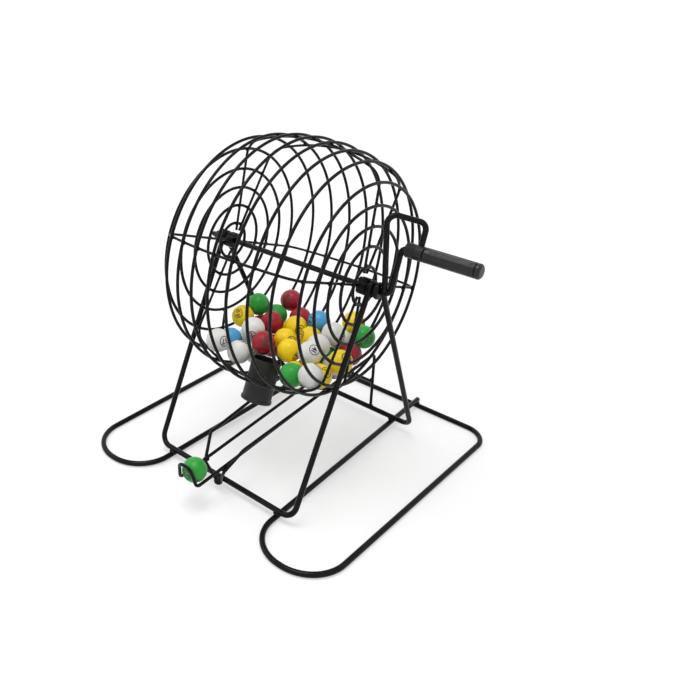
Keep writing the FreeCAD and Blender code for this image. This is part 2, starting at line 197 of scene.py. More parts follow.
# %% [markdown]
# A formula says where a surface is, but not which side of it is the outside. Every shell
# here is closed, so Blender can tell, and it turns all faces outwards before the piece is
# lit. The edges that are sharper than 40 degrees stay crisp and the others are shaded round.

# %% Make the Blender object
SMOOTH_BELOW = math.radians(40)


def face_outwards(mesh):
    """Turn the faces of every closed shell in the mesh to the outside."""
    work = bmesh.new()
    work.from_mesh(mesh)
    bmesh.ops.recalc_face_normals(work, faces=work.faces)
    work.to_mesh(mesh)
    work.free()


def new_piece(name, shell, material, body, stands_for=()):
    """One visible piece: its place is in its mesh, and it rides on a body of the part."""
    points, faces = shell
    mesh = bpy.data.meshes.new(name)
    mesh.from_pydata(np.asarray(points).tolist(), [], faces)
    mesh.validate()
    face_outwards(mesh)
    mesh.polygons.foreach_set("use_smooth", [True] * len(mesh.polygons))
    mesh.set_sharp_from_angle(angle=SMOOTH_BELOW)
    mesh.materials.append(material)
    piece = bpy.data.objects.new(name, mesh)
    bpy.context.scene.collection.objects.link(piece)
    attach(piece, body)
    if stands_for:
        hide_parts(*stands_for)


def wire_shell(line, diameter, reference, sides):
    """A length of wire with cut ends."""
    points, radii = cut_ends(line, diameter / 2)
    return grid_shell(carried_circle(points, radii, reference, sides))


print("pieces are ready to be made")

# %% [markdown]
# ## Finishes
# Every finish is worked out by nodes from the object's own coordinates, so nothing slides
# when a body turns. An image texture would need a flat map of each piece; noise doesn't.
# A value that is the same all over is set on the shader itself.

# %% Node helpers
def new_finish(name):
    """A material with nothing but its shader: returns the material, nodes, links, shader."""
    material = bpy.data.materials.new(name)
    material.use_nodes = True
    tree = material.node_tree
    return material, tree.nodes, tree.links, tree.nodes["Principled BSDF"]


def noise(nodes, links, scale, detail=3.0):
    """Noise in object coordinates; scale is in waves per metre."""
    place = nodes.new("ShaderNodeTexCoord")
    texture = nodes.new("ShaderNodeTexNoise")
    texture.inputs["Scale"].default_value = scale
    texture.inputs["Detail"].default_value = detail
    links.new(place.outputs["Object"], texture.inputs["Vector"])
    return texture.outputs["Fac"]


def ramp(nodes, links, factor, stops, socket):
    """A colour ramp with (position, colour) stops feeds the socket; a number is a grey."""
    node = nodes.new("ShaderNodeValToRGB")
    elements = node.color_ramp.elements
    while len(elements) < len(stops):
        elements.new(0.5)
    for element, (position, colour) in zip(elements, stops):
        element.position = position
        grey = isinstance(colour, float)
        element.color = (colour, colour, colour, 1) if grey else (*colour, 1)
    links.new(factor, node.inputs["Fac"])
    links.new(node.outputs["Color"], socket)


def bump(nodes, links, height, strength, depth, socket):
    """A bump node feeds the socket; depth is the real height of the pattern in metres."""
    node = nodes.new("ShaderNodeBump")
    node.inputs["Strength"].default_value = strength
    node.inputs["Distance"].default_value = depth
    links.new(height, node.inputs["Height"])
    links.new(node.outputs["Normal"], socket)


print("node helpers are ready")

# %% [markdown]
# ### Black enamel on wire
# The frame is dipped in black enamel after welding. The coat is smooth but not even: it
# pools a little, so the gloss changes over a few millimetres, and it has a fine orange peel.
# One flat black would hide that a wire is round; two close blacks and a moving gloss make
# the thin highlights break up as they do on a real dipped wire.

# %% Enamel
ENAMEL_SHINE = 0.14
POOLED_ROUGHER = 0.14
PEEL_WAVES = 1400
PEEL_STRENGTH, PEEL_DEPTH = 0.25, 0.00004


def enamel(name, dark, light, roughness, waves):
    """Dipped paint: colour and roughness drift with one slow noise, a fine one is the peel."""
    material, nodes, links, shader = new_finish(name)
    shader.inputs["Specular IOR Level"].default_value = ENAMEL_SHINE
    drift = noise(nodes, links, waves)
    dullest = roughness + POOLED_ROUGHER
    ramp(nodes, links, drift, [(0.3, dark), (0.7, light)], shader.inputs["Base Color"])
    ramp(nodes, links, drift, [(0.3, roughness), (0.75, dullest)], shader.inputs["Roughness"])
    peel = noise(nodes, links, PEEL_WAVES)
    bump(nodes, links, peel, PEEL_STRENGTH, PEEL_DEPTH, shader.inputs["Normal"])
    return material


enamel_heavy = enamel("enamel_heavy_wire", (0.0022, 0.0022, 0.0026), (0.0055, 0.0055, 0.006),
                      roughness=0.16, waves=160)
enamel_thin = enamel("enamel_thin_wire", (0.0028, 0.0026, 0.0028), (0.007, 0.0065, 0.007),
                     roughness=0.18, waves=220)
enamel_weld = enamel("enamel_weld_bead", (0.0022, 0.0022, 0.0022), (0.006, 0.0055, 0.006),
                     roughness=0.28, waves=500)
print("enamels:", enamel_heavy.name, enamel_thin.name, enamel_weld.name)

# %% [markdown]
# ### Moulded black plastic
# Tube, collar, grip and stops are moulded. Their skin is duller than the enamel and has the
# fine grain of the mould, so the grain goes into both the bump and the roughness.

# %% Plastic
PLASTIC_SHINE = 0.34
FLOW_WAVES = 90
GRAIN_ROUGHER, GRAIN_STRENGTH = 0.12, 0.35


def moulded_plastic(name, dark, light, roughness, grain, relief):
    """Moulded plastic: slow colour drift, and a fine grain in relief and gloss."""
    material, nodes, links, shader = new_finish(name)
    shader.inputs["Specular IOR Level"].default_value = PLASTIC_SHINE
    drift = noise(nodes, links, FLOW_WAVES)
    fine = noise(nodes, links, grain, 5.0)
    dullest = roughness + GRAIN_ROUGHER
    ramp(nodes, links, drift, [(0.35, dark), (0.65, light)], shader.inputs["Base Color"])
    ramp(nodes, links, fine, [(0.3, roughness), (0.7, dullest)], shader.inputs["Roughness"])
    bump(nodes, links, fine, GRAIN_STRENGTH, relief, shader.inputs["Normal"])
    return material


tube_plastic = moulded_plastic("tube_plastic", (0.006, 0.006, 0.0065), (0.011, 0.011, 0.012),
                               roughness=0.38, grain=900, relief=0.00006)
grip_plastic = moulded_plastic("grip_plastic", (0.008, 0.008, 0.009), (0.014, 0.013, 0.014),
                               roughness=0.27, grain=1300, relief=0.00008)
washer_fibre = moulded_plastic("washer_fibre", (0.014, 0.013, 0.012), (0.030, 0.027, 0.024),
                               roughness=0.62, grain=2600, relief=0.00010)
print("plastics:", tube_plastic.name, grip_plastic.name, washer_fibre.name)

# %% [markdown]
# ### Balls and their ink
# The balls are tumbled plastic. Their colour is almost even, with faint flow marks from the
# mould, and their gloss is broken by the scuffs of other balls. The number is dull ink.

# %% Ball plastic and ink
BALL_COLOURS = {
    "green": ((0.018, 0.300, 0.034), (0.030, 0.390, 0.052)),
    "yellow": ((0.920, 0.620, 0.003), (0.970, 0.710, 0.007)),
    "red": ((0.300, 0.007, 0.018), (0.410, 0.012, 0.028)),
    "blue": ((0.075, 0.330, 0.620), (0.105, 0.410, 0.720)),
    "white": ((0.730, 0.730, 0.700), (0.820, 0.820, 0.790)),
}
BALL_SHINE = 0.35
BALL_FLOW_WAVES = 130
SCUFF_WAVES, SCUFF_STRENGTH, SCUFF_DEPTH = 1100, 0.2, 0.00003
GLOW_SHARE, GLOW_DEPTH = 0.06, 0.002
INK_WAVES = 2500


def ball_plastic(colour):
    """Tumbled plastic: faint flow marks in the colour, scuffs in the gloss and in relief."""
    dark, light = BALL_COLOURS[colour]
    material, nodes, links, shader = new_finish("ball_plastic_" + colour)
    flow = noise(nodes, links, BALL_FLOW_WAVES, 4.0)
    scuffs = noise(nodes, links, SCUFF_WAVES, 6.0)
    ramp(nodes, links, flow, [(0.3, dark), (0.7, light)], shader.inputs["Base Color"])
    ramp(nodes, links, scuffs, [(0.35, 0.26), (0.70, 0.46)], shader.inputs["Roughness"])
    bump(nodes, links, scuffs, SCUFF_STRENGTH, SCUFF_DEPTH, shader.inputs["Normal"])
    shader.inputs["Specular IOR Level"].default_value = BALL_SHINE
    shader.inputs["Subsurface Weight"].default_value = GLOW_SHARE
    shader.inputs["Subsurface Scale"].default_value = GLOW_DEPTH
    return material


def printing_ink():
    """Dull ink that has rubbed thin in places."""
    material, nodes, links, shader = new_finish("printing_ink")
    rub = noise(nodes, links, INK_WAVES, 4.0)
    ramp(nodes, links, rub, [(0.35, 0.012), (0.8, 0.05)], shader.inputs["Base Color"])
    ramp(nodes, links, rub, [(0.3, 0.45), (0.7, 0.65)], shader.inputs["Roughness"])
    return material


ball_finish = {colour: ball_plastic(colour) for colour in BALL_COLOURS}
ink = printing_ink()
print("ball colours:", ", ".join(ball_finish))

# %% [markdown]
# ## The cage
# The cage is a barrel of rings with flat ends. Its outline along the axle is three curves
# that meet smoothly: a flat cap, a corner and a wide arc. Rings sit on that outline and the
# ribs follow it just inside, so both come from the same few numbers.

# %% The outline of the barrel
AXLE_HEIGHT = 0.192
CAGE_RADIUS = 0.114
CAP_X = 0.075
BELT_ARC = 0.173
CORNER_ARC = 0.020
RING_WIRE = 0.0028
RIB_WIRE = 0.0024
WELD_SINK = 0.0001
BELT_RING_X = np.array([0.0195, 0.039, 0.058])
CORNER_RING_RADIUS = 0.0895
CAP_RING_RADII = np.array([0.070, 0.052, 0.0345, 0.017])

belt_centre = CAGE_RADIUS - BELT_ARC
corner_x = CAP_X - CORNER_ARC
corner_r = belt_centre + math.sqrt((BELT_ARC - CORNER_ARC) ** 2 - corner_x ** 2)
corner_sweep = math.pi / 2 - math.atan2(corner_x, corner_r - belt_centre)


def drum_point(x, radius, degrees):
    """A place in the cage: along the axle, out from it, and round it from straight up."""
    angle = np.radians(degrees)
    x, radius, angle = np.broadcast_arrays(x, radius, angle)
    return np.stack([x, radius * np.sin(angle), AXLE_HEIGHT + radius * np.cos(angle)], axis=-1)


def ring_places():
    """(x, radius, outward slope) of each ring from the left cap to the right cap.

    The slope is the unit normal of the outline in (x, radius), which tells a weld where
    the rib lies.
    """
    belt_r = belt_centre + np.sqrt(BELT_ARC ** 2 - BELT_RING_X ** 2)
    belt = [(x, r, (x / BELT_ARC, (r - belt_centre) / BELT_ARC)) for x, r in zip(BELT_RING_X, belt_r)]
    rise = (CORNER_RING_RADIUS - corner_r) / CORNER_ARC
    reach = math.sqrt(1 - rise ** 2)
    corner = [(corner_x + CORNER_ARC * reach, CORNER_RING_RADIUS, (reach, rise))]
    cap = [(CAP_X, r, (1.0, 0.0)) for r in CAP_RING_RADII]
    right = belt + corner + cap
    left = [(-x, r, (-nx, nr)) for x, r, (nx, nr) in reversed(right)]
    return left + [(0.0, CAGE_RADIUS, (0.0, 1.0))] + right


rings = ring_places()
print(len(rings), "rings; corner arc sweeps", round(math.degrees(corner_sweep), 1), "degrees")

# %% [markdown]
# ### Rings
# A ring is one turn of wire, closed by a butt weld that is ground flush and leaves a faint
# thick place. The middle ring is different: it stops at the outlet tube on both sides.

# %% Bend the rings
TUBE_ANGLE = 202.0
TUBE_OUTER_RADIUS = 0.0136
RING_LET_IN = 0.0004
RING_STATIONS, RING_SIDES = 144, 16
BUTT_ANGLE, BUTT_STEP = 62.0, 137.5
BUTT_SWELL = 0.07


def closed_ring(x, radius, butt):
    """One turn of wire: r = R (1 + swell exp(-(a/w)^2)) near its butt weld at angle butt."""
    degrees = np.linspace(0, 360, RING_STATIONS, endpoint=False)
    away = (degrees - butt + 180) % 360 - 180
    width = math.degrees(RING_WIRE / radius)
    swell = 1 + BUTT_SWELL * np.exp(-(away / width) ** 2)
    line = drum_point(x, radius, degrees)
    grid = carried_circle(line, swell * RING_WIRE / 2, X_AXIS, RING_SIDES, closed=True)
    return grid_shell(grid, closed=True)


def open_ring():
    """The middle ring, from one wall of the outlet tube round to the other."""
    half_gap = math.degrees(math.asin((TUBE_OUTER_RADIUS - RING_LET_IN) / CAGE_RADIUS))
    degrees = np.linspace(TUBE_ANGLE + half_gap, TUBE_ANGLE + 360 - half_gap, RING_STATIONS)
    return wire_shell(drum_point(0.0, CAGE_RADIUS, degrees), RING_WIRE, X_AXIS, RING_SIDES)


for number, (x, radius, _) in enumerate(rings, start=1):
    shell = open_ring() if x == 0 else closed_ring(x, radius, BUTT_ANGLE + BUTT_STEP * number)
    node = "cage_ring_%02d" % number
    new_piece("ring_wire_%02d" % number, shell, enamel_thin, "drum", [node])
print("rings bent, middle one open at", TUBE_ANGLE, "degrees")

# %% [markdown]
# ### Ribs
# A rib runs inside the rings from one cap to the other and holds them apart. Four ribs stand
# in pairs beside the tube and opposite it, with their ends free; two more end in the hubs. A
# rib's outline is the barrel's own, moved in until the wires touch, so each weld fits.

# %% Bend the ribs
RIB_INSET = (RING_WIRE + RIB_WIRE) / 2 - WELD_SINK
RIB_SIDES = 14
CORNER_STATIONS, ARCH_STATIONS = 14, 24
RIB_SPREAD = 11.5
CROSS_RIB_ANGLE = 110.0
FREE_END_RADIUS = 0.0105
HUB_RADIUS = 0.0077


def rib_outline(start_radius):
    """(x, radius) along half a rib, from its inner end on the cap to the top of the belt."""
    corner = CORNER_ARC - RIB_INSET
    belt = BELT_ARC - RIB_INSET
    turn = np.linspace(0, corner_sweep, CORNER_STATIONS)
    belt_turn = np.linspace(math.pi / 2 - corner_sweep, 0, ARCH_STATIONS)[1:]
    cap = [[CAP_X - RIB_INSET, start_radius]]
    bend = np.stack([corner_x + corner * np.cos(turn), corner_r + corner * np.sin(turn)], axis=-1)
    arch = np.stack([belt * np.sin(belt_turn), belt_centre + belt * np.cos(belt_turn)], axis=-1)
    return np.vstack([cap, bend, arch])


def rib(degrees, start_radius):
    """A rib from cap to cap, symmetric about the middle ring."""
    half = rib_outline(start_radius)
    left = half * [-1, 1]
    outline = np.vstack([left, half[::-1][1:]])
    line = drum_point(outline[:, 0], outline[:, 1], degrees)
    across = np.cross(X_AXIS, drum_point(0, 1, degrees) - drum_point(0, 0, degrees))
    return wire_shell(line, RIB_WIRE, across, RIB_SIDES)


paired = [TUBE_ANGLE + turn + side * RIB_SPREAD for turn in (0, 180) for side in (-1, 1)]
crossed = [CROSS_RIB_ANGLE, CROSS_RIB_ANGLE + 180]
rib_angles = paired + crossed
rib_starts = [FREE_END_RADIUS] * 4 + [HUB_RADIUS - WELD_SINK] * 2
for number, (degrees, start) in enumerate(zip(rib_angles, rib_starts), start=1):
    new_piece("rib_wire_%d" % number, rib(degrees, start), enamel_thin, "drum",
              ["cage_rib_%d" % number])
print("ribs at", rib_angles, "degrees")

# %% [markdown]
# ### Spot welds
# Where a rib crosses a ring the wires are pressed together and melted by a current. Metal
# squeezes out into the four corners of the crossing, and the enamel rounds it off. Each weld
# is a small pillow: an ellipsoid with its own three directions. One grid of unit points
# serves all of them, and one expression places the lot.

# %% Weld beads
POLE_LATITUDE = 72
BEAD_HALF_SIZES = (0.0021, 0.0020, 0.0010)
BEAD_UNEVEN = 0.16


def pillows(centres, axes, rows=7, columns=12):
    """Ellipsoids S = C + x A + y B + z N, with (x, y, z) the unit sphere's grid.

    axes holds the three half axes A, B and N of each pillow. The poles are closed by faces.
    """
    height = np.radians(np.linspace(-POLE_LATITUDE, POLE_LATITUDE, rows))[:, None]
    around = np.linspace(0, 2 * np.pi, columns, endpoint=False)[None, :]
    sphere = np.stack([np.cos(height) * np.cos(around), np.cos(height) * np.sin(around),
                       np.sin(height) + 0 * around], axis=-1)
    grids = centres[:, None, None] + np.einsum("rck,nkd->nrcd", sphere, axes)
    return joined([grid_shell(grid) for grid in grids])


def crossing_welds():
    """Centre and half axes of the weld at every crossing of a rib and a ring."""
    centres, axes = [], []
    half_across, half_along, half_high = BEAD_HALF_SIZES
    for degrees in rib_angles:
        outward = drum_point(0, 1, degrees) - drum_point(0, 0, degrees)
        tangent = np.cross(X_AXIS, outward)
        for x, radius, (nx, nr) in rings:
            normal = nx * X_AXIS + nr * outward
            along_rib = np.cross(tangent, normal)
            centres.append(drum_point(x, radius, degrees) - normal * (RING_WIRE / 2))
            axes.append([tangent * half_across, along_rib * half_along, normal * half_high])
    return np.array(centres), np.array(axes)


def uneven(axes, share, seed):
    """The half axes with each length changed by up to the share, because no weld repeats."""
    return axes * (1 + share * np.random.default_rng(seed).uniform(-1, 1, (len(axes), 3, 1)))


weld_centres, weld_axes = crossing_welds()
weld_axes = uneven(weld_axes, BEAD_UNEVEN, seed=5)
new_piece("cage_welds", pillows(weld_centres, weld_axes), enamel_weld, "drum")
print(len(weld_centres), "spot welds")

# %% [markdown]
# ## The outlet tube
# The tube is moulded, open at both ends, and passes through the belt where the middle ring
# is cut, with the ring's two ends let into its wall. A tube is a turned form: an outline in
# (along, radius) is carried round an axis.

# %% Turned forms
def rounded_outline(corners, radii):
    """A closed outline with an arc at each corner, as (along, radius) points."""
    corners = np.column_stack([corners, np.zeros(len(corners))])
    before = np.roll(corners, 1, axis=0)
    after = np.roll(corners, -1, axis=0)
    arcs = [corner_arc(*three, radius) for *three, radius in zip(before, corners, after, radii)]
    return np.vstack(arcs)[:, :2]


def turned_grid(outline, start, axis, sides, flute=None):
    """Grid S(i, j) = start + a_i axis + r_i f_ij (cos t_j N + sin t_j B).

    (a, r) is the outline, and f is 1 unless a flute function of (a, r, t) is given.
    """
    axis = unit(axis)
    side = unit(np.cross(axis, Z_AXIS if abs(axis[2]) < 0.7 else X_AXIS))
    normal = np.cross(side, axis)
    turn = np.linspace(0, 2 * np.pi, sides, endpoint=False)
    along, radius = outline[:, :1], outline[:, 1:]
    factor = 1.0 if flute is None else flute(along, radius, turn[None, :])
    reach = (radius * factor)[..., None] * np.ones((1, sides, 1))
    spin = np.cos(turn)[:, None] * normal + np.sin(turn)[:, None] * side
    return start + along[..., None] * axis + reach * spin[None]


def sleeve(outline, start, axis, sides, flute=None):
    """A hollow turned form from a closed outline: it has no ends to cap."""
    return grid_shell(turned_grid(outline, start, axis, sides, flute), closed=True)


def pipe_outline(inner, outer, start, end, edge):
    """The cut through a plain pipe wall, with rounded rims."""
    corners = [(start, inner), (end, inner), (end, outer), (start, outer)]
    return rounded_outline(np.array(corners), [edge] * 4)


print("turned forms are ready")

# %% Mould the outlet tube
TUBE_BORE_RADIUS = 0.0122
TUBE_FROM, TUBE_TO = 0.093, 0.132
TUBE_EDGE, TUBE_SIDES = 0.0004, 64
LIP_LENGTH, LIP_RISE, LIP_SLOPE = 0.0025, 0.0008, 0.0006
LIP_EDGE, LIP_FOOT_EDGE = 0.0005, 0.0003
tube_out = drum_point(0, 1, TUBE_ANGLE) - drum_point(0, 0, TUBE_ANGLE)


def tube_wall():
    """The wall of the tube: rounded rims, and a step up to the lip at the outer end."""
    lip = TUBE_OUTER_RADIUS + LIP_RISE
    lip_from = TUBE_TO - LIP_LENGTH
    corners = [(TUBE_FROM, TUBE_BORE_RADIUS), (TUBE_TO, TUBE_BORE_RADIUS), (TUBE_TO, lip),
               (lip_from, lip), (lip_from - LIP_SLOPE, TUBE_OUTER_RADIUS),
               (TUBE_FROM, TUBE_OUTER_RADIUS)]
    edges = [TUBE_EDGE, LIP_EDGE, LIP_EDGE, LIP_FOOT_EDGE, LIP_FOOT_EDGE, TUBE_EDGE]
    return rounded_outline(np.array(corners), edges)


tube = sleeve(tube_wall(), point(0, 0, AXLE_HEIGHT), tube_out, TUBE_SIDES)
new_piece("outlet_tube_wall", tube, tube_plastic, "drum", ["outlet_tube"])
print("outlet tube", round((TUBE_TO - TUBE_FROM) * 1000), "mm long")

# %% [markdown]
# ## The stand
# Heavier wire makes the stand: two loops on the floor, and two leg frames that lean against
# each other and curl round the axle. Each is a single bent wire. Where two of them cross they
# are welded with more metal than the cage has.

# %% Bend the floor wire
STAND_WIRE = 0.005
STAND_SIDES = 28
HALF_WIRE = STAND_WIRE / 2
BASE_OUT_X = 0.1385
BASE_IN_FRONT_X = 0.065
BASE_IN_BACK_X = 0.0575
BASE_FRONT_Y = -0.1365
BASE_BACK_Y = 0.142
BASE_CORNER_RADIUS = 0.022
RAIL_TAIL = 0.004
U_BEND_STRAIGHT = 0.001
U_BEND_RADIUS = (BASE_OUT_X - BASE_IN_FRONT_X - U_BEND_STRAIGHT) / 2


def inner_rail(side, y):
    """The inner floor rail at y: it climbs from the floor onto the rear bar."""
    climb = (y - BASE_FRONT_Y) / (BASE_BACK_Y - BASE_FRONT_Y)
    x = BASE_IN_FRONT_X + climb * (BASE_IN_BACK_X - BASE_IN_FRONT_X)
    return point(side * x, y, HALF_WIRE + climb * (STAND_WIRE - WELD_SINK))


def floor_wire():
    """One wire: in from the rear, round the front loop, along the back and out again."""
    half = np.array([inner_rail(1, BASE_BACK_Y + RAIL_TAIL), inner_rail(1, BASE_FRONT_Y),
                     point(BASE_OUT_X, BASE_FRONT_Y, HALF_WIRE),
                     point(BASE_OUT_X, BASE_BACK_Y, HALF_WIRE)])
    radii = [U_BEND_RADIUS, U_BEND_RADIUS, BASE_CORNER_RADIUS]
    line = bent_line(np.vstack([half, mirrored(half)]), radii + radii[::-1])
    return wire_shell(line, STAND_WIRE, Z_AXIS, STAND_SIDES)


new_piece("floor_wire", floor_wire(), enamel_heavy, "stand", ["base_frame"])
print("floor wire bent, loops", round((BASE_OUT_X - BASE_IN_FRONT_X) * 1000, 1), "mm wide")

# %% [markdown]
# A leg frame is one wire too: an eye, a leg, a bar on the floor rails, the other leg and its
# eye. The eye is bent round the axle and has to run into the leg without a kink, so the leg
# leaves the eye's circle along a tangent, and the formula below finds it.

# %% Bend the leg frames
DIAGONAL = unit([1, 1, 0])
LEG_FOOT_X = 0.080
LEG_FOOT_Y = 0.093
LEG_BEND_RADIUS = 0.011
EYE_X = {-1: 0.0832, 1: 0.0891}
RUNNING_PLAY = 0.00008
EYE_RADIUS = STAND_WIRE + RUNNING_PLAY
EYE_TURN = math.radians(262)
EYE_STATIONS = 56


def floor_bar(side):
    """The bar of a leg frame, lying on the inner floor rails."""
    y = side * LEG_FOOT_Y
    return point(LEG_FOOT_X, y, inner_rail(1, y)[2] + STAND_WIRE - WELD_SINK)


def eye_curl(side, foot):
    """The curled top of a leg, from its free end round the axle to where it runs straight.

    With u the unit vector from the axle to the foot, v the outer direction at right angles
    to it, d their distance and cos h = R / d, the leg leaves the circle at the tangent point
    axle + R a, where a = u cos h + v sin h. The curl is axle + R (a cos t + b sin t), and b
    points up along the leg, so there is no kink.
    """
    centre = point(EYE_X[side], 0, AXLE_HEIGHT)
    to_foot = foot - centre
    lean = math.acos(EYE_RADIUS / np.linalg.norm(to_foot))
    to_foot = unit(to_foot)
    outer = unit(side * Y_AXIS - to_foot * (side * to_foot[1]))
    away = to_foot * math.cos(lean) + outer * math.sin(lean)
    along = unit(centre + EYE_RADIUS * away - foot)
    turn = np.linspace(EYE_TURN, 0, EYE_STATIONS)[:, None]
    return centre + EYE_RADIUS * (away * np.cos(turn) + along * np.sin(turn))


def leg_wire(side):
    """One leg frame: eye, leg, floor bar, leg, eye. side is -1 in front and 1 behind."""
    foot = floor_bar(side)
    curl = eye_curl(side, foot)
    half = np.vstack([curl[-1:], [foot]])
    middle = bent_line(np.vstack([half, mirrored(half)]), [LEG_BEND_RADIUS] * 2)
    line = np.vstack([curl[:-1], middle, mirrored(curl[:-1])])
    return wire_shell(line, STAND_WIRE, DIAGONAL, STAND_SIDES)


for side, name in ((-1, "front_leg_wire"), (1, "rear_leg_wire")):
    node = name.replace("wire", "frame")
    new_piece(name, leg_wire(side), enamel_heavy, "stand", [node])
print("leg eyes curl", round(math.degrees(EYE_TURN)), "degrees round the axle")

# %% [markdown]
# ## The chute
# Lighter wire carries the ball. Two rails fall to the front and turn up into an arch, which
# stops the ball. Beside each rail a guard wire comes down from a rear post, passes under the
# rail and ends in a weld lump on the front floor bar. The left post is the shorter one.

# %% Bend the rails
CHUTE_WIRE = 0.003
CHUTE_SIDES = 20
RAIL_X = 0.010
RAIL_FRONT_Y, RAIL_FRONT_Z = -0.1315, 0.028
RAIL_BACK_Y, RAIL_BACK_Z = 0.094, 0.0465
RAIL_SLOPE = (RAIL_BACK_Z - RAIL_FRONT_Z) / (RAIL_BACK_Y - RAIL_FRONT_Y)
STOP_KNEE_Y = -0.137
STOP_TOP = point(0.0065, -0.1413, 0.0466)
STOP_BENDS = [0.005, 0.006]


def rail_z(y):
    """Height of a rail's centre line at y."""
    return RAIL_FRONT_Z + (y - RAIL_FRONT_Y) * RAIL_SLOPE


def rail_wire():
    """Rail, stop and rail in one wire; the stop is an arch that leans to the front."""
    back_y = RAIL_BACK_Y + RAIL_TAIL
    half = np.array([point(RAIL_X, back_y, rail_z(back_y)),
                     point(RAIL_X, STOP_KNEE_Y, rail_z(STOP_KNEE_Y)), STOP_TOP])
    line = bent_line(np.vstack([half, mirrored(half)]), STOP_BENDS + STOP_BENDS[::-1])
    return wire_shell(line, CHUTE_WIRE, DIAGONAL, CHUTE_SIDES)


new_piece("chute_rail_wire", rail_wire(), enamel_thin, "stand", ["chute_rails"])
print("rails fall", round(math.degrees(math.atan(RAIL_SLOPE)), 1), "degrees")

# %% Bend the guard and the cross wire
GUARD_POST_X = 0.0335
GUARD_POST_TOPS = {1: 0.073, -1: 0.056}
GUARD_BEND = point(0.0198, -0.0881, 0.0450)
GUARD_BEND_RADIUS = 0.0035
CRADLE_BEND = point(0.0114, -0.1041, 0.0264)
CRADLE_FOOT_X = 0.0022
LUMP_RADIUS = 0.0036


def cradle_foot():
    """Where the guards end: a weld lump against the front of the front floor bar."""
    return point(0, -(LEG_FOOT_Y + HALF_WIRE + LUMP_RADIUS - WELD_SINK), floor_bar(-1)[2])


def guard_wire(side):
    """Rear post, sloping guard beside the rail, and half of the cradle under the rails."""
    post_foot = floor_bar(1)[2] + HALF_WIRE - WELD_SINK
    corners = np.array([point(GUARD_POST_X, LEG_FOOT_Y, post_foot),
                        point(GUARD_POST_X, LEG_FOOT_Y, GUARD_POST_TOPS[side]),
                        GUARD_BEND, CRADLE_BEND, cradle_foot() + CRADLE_FOOT_X * X_AXIS])
    line = bent_line(corners * [side, 1, 1], [GUARD_BEND_RADIUS] * 3)
    return wire_shell(line, CHUTE_WIRE, DIAGONAL, CHUTE_SIDES)


def cross_wire():
    """A straight wire between the rear posts, under the ends of the rails."""
    y = LEG_FOOT_Y - CHUTE_WIRE + WELD_SINK
    z = rail_z(y) - CHUTE_WIRE + WELD_SINK
    reach = GUARD_POST_X + CHUTE_WIRE
    line = np.array([point(-reach, y, z), point(0, y, z), point(reach, y, z)])
    return wire_shell(line, CHUTE_WIRE, Z_AXIS, CHUTE_SIDES)


guards = joined([guard_wire(1), guard_wire(-1)])
new_piece("chute_guard_wire", guards, enamel_thin, "stand", ["chute_guard"])
new_piece("chute_rear_wire", cross_wire(), enamel_thin, "stand", ["chute_cross_wire"])
print("guard posts rise to", list(GUARD_POST_TOPS.values()), "m")

# %% [markdown]
# ### Welds of the stand
# These welds are made one by one, so each has more metal than the cage's, and no two are
# alike. They are the same pillows, larger, with their own directions.

# %% Weld the stand
WIDE_WELD = (0.0036, 0.0036, 0.0019)
SMALL_WELD = (0.0027, 0.0027, 0.0014)
POST_WELD = (0.0028, 0.0022, 0.0012)
LUMP_WELD = (0.0038, 0.0034, 0.0037)
HELD_OUT, HELD_BACK = 0.0005, 0.0004
WELD_UNEVEN = 0.14
WELD_GRID = (9, 16)


def weld(centre, along, across, size):
    """Centre and half axes of a pillow between two wires that run along and across."""
    along, across = unit(along), unit(across)
    normal = unit(np.cross(along, across))
    across = np.cross(normal, along)
    return centre, np.array([along * size[0], across * size[1], normal * size[2]])


def stand_welds():
    """Leg bars on rails, rails on the rear bar, posts, cradle, rails on their supports."""
    places = [weld(cradle_foot(), X_AXIS, Z_AXIS, LUMP_WELD)]
    for side in (-1, 1):
        tail = inner_rail(side, BASE_BACK_Y)
        run = tail - inner_rail(side, BASE_FRONT_Y)
        places.append(weld(tail - Z_AXIS * HALF_WIRE, run, X_AXIS, WIDE_WELD))
        for end in (-1, 1):
            rail = inner_rail(side, end * LEG_FOOT_Y)
            places.append(weld(rail + Z_AXIS * HALF_WIRE, run, X_AXIS, WIDE_WELD))
        rear_y = LEG_FOOT_Y - CHUTE_WIRE
        rail = point(side * RAIL_X, rear_y, rail_z(rear_y) - CHUTE_WIRE / 2)
        places.append(weld(rail, Y_AXIS, X_AXIS, SMALL_WELD))
        post = point(side * GUARD_POST_X, LEG_FOOT_Y - CHUTE_WIRE / 2, rail[2] - CHUTE_WIRE / 2)
        places.append(weld(post, X_AXIS, Z_AXIS, SMALL_WELD))
        foot = point(side * GUARD_POST_X, LEG_FOOT_Y, floor_bar(1)[2] + HALF_WIRE)
        places.append(weld(foot, X_AXIS, Y_AXIS, POST_WELD))
        held_y = CRADLE_BEND[1] + HELD_BACK
        held = point(side * (RAIL_X + HELD_OUT), held_y, rail_z(held_y) - CHUTE_WIRE / 2)
        places.append(weld(held, Y_AXIS, X_AXIS, SMALL_WELD))
    return places


places = stand_welds()
centres = np.array([centre for centre, _ in places])
axes = uneven(np.array([half_axes for _, half_axes in places]), WELD_UNEVEN, seed=9)
new_piece("stand_welds", pillows(centres, axes, *WELD_GRID), enamel_weld, "stand")
print(len(places), "welds on the stand")

# %% [markdown]
# ## Axle, hubs and crank
# The axle, the crank arm and the pin under the grip are one wire with two bends. A second
# wire starts beside the arm, arches out and comes down on the pin, which it stiffens. The
# cross ribs end in two lobed hubs, and washers keep these off the leg eyes.

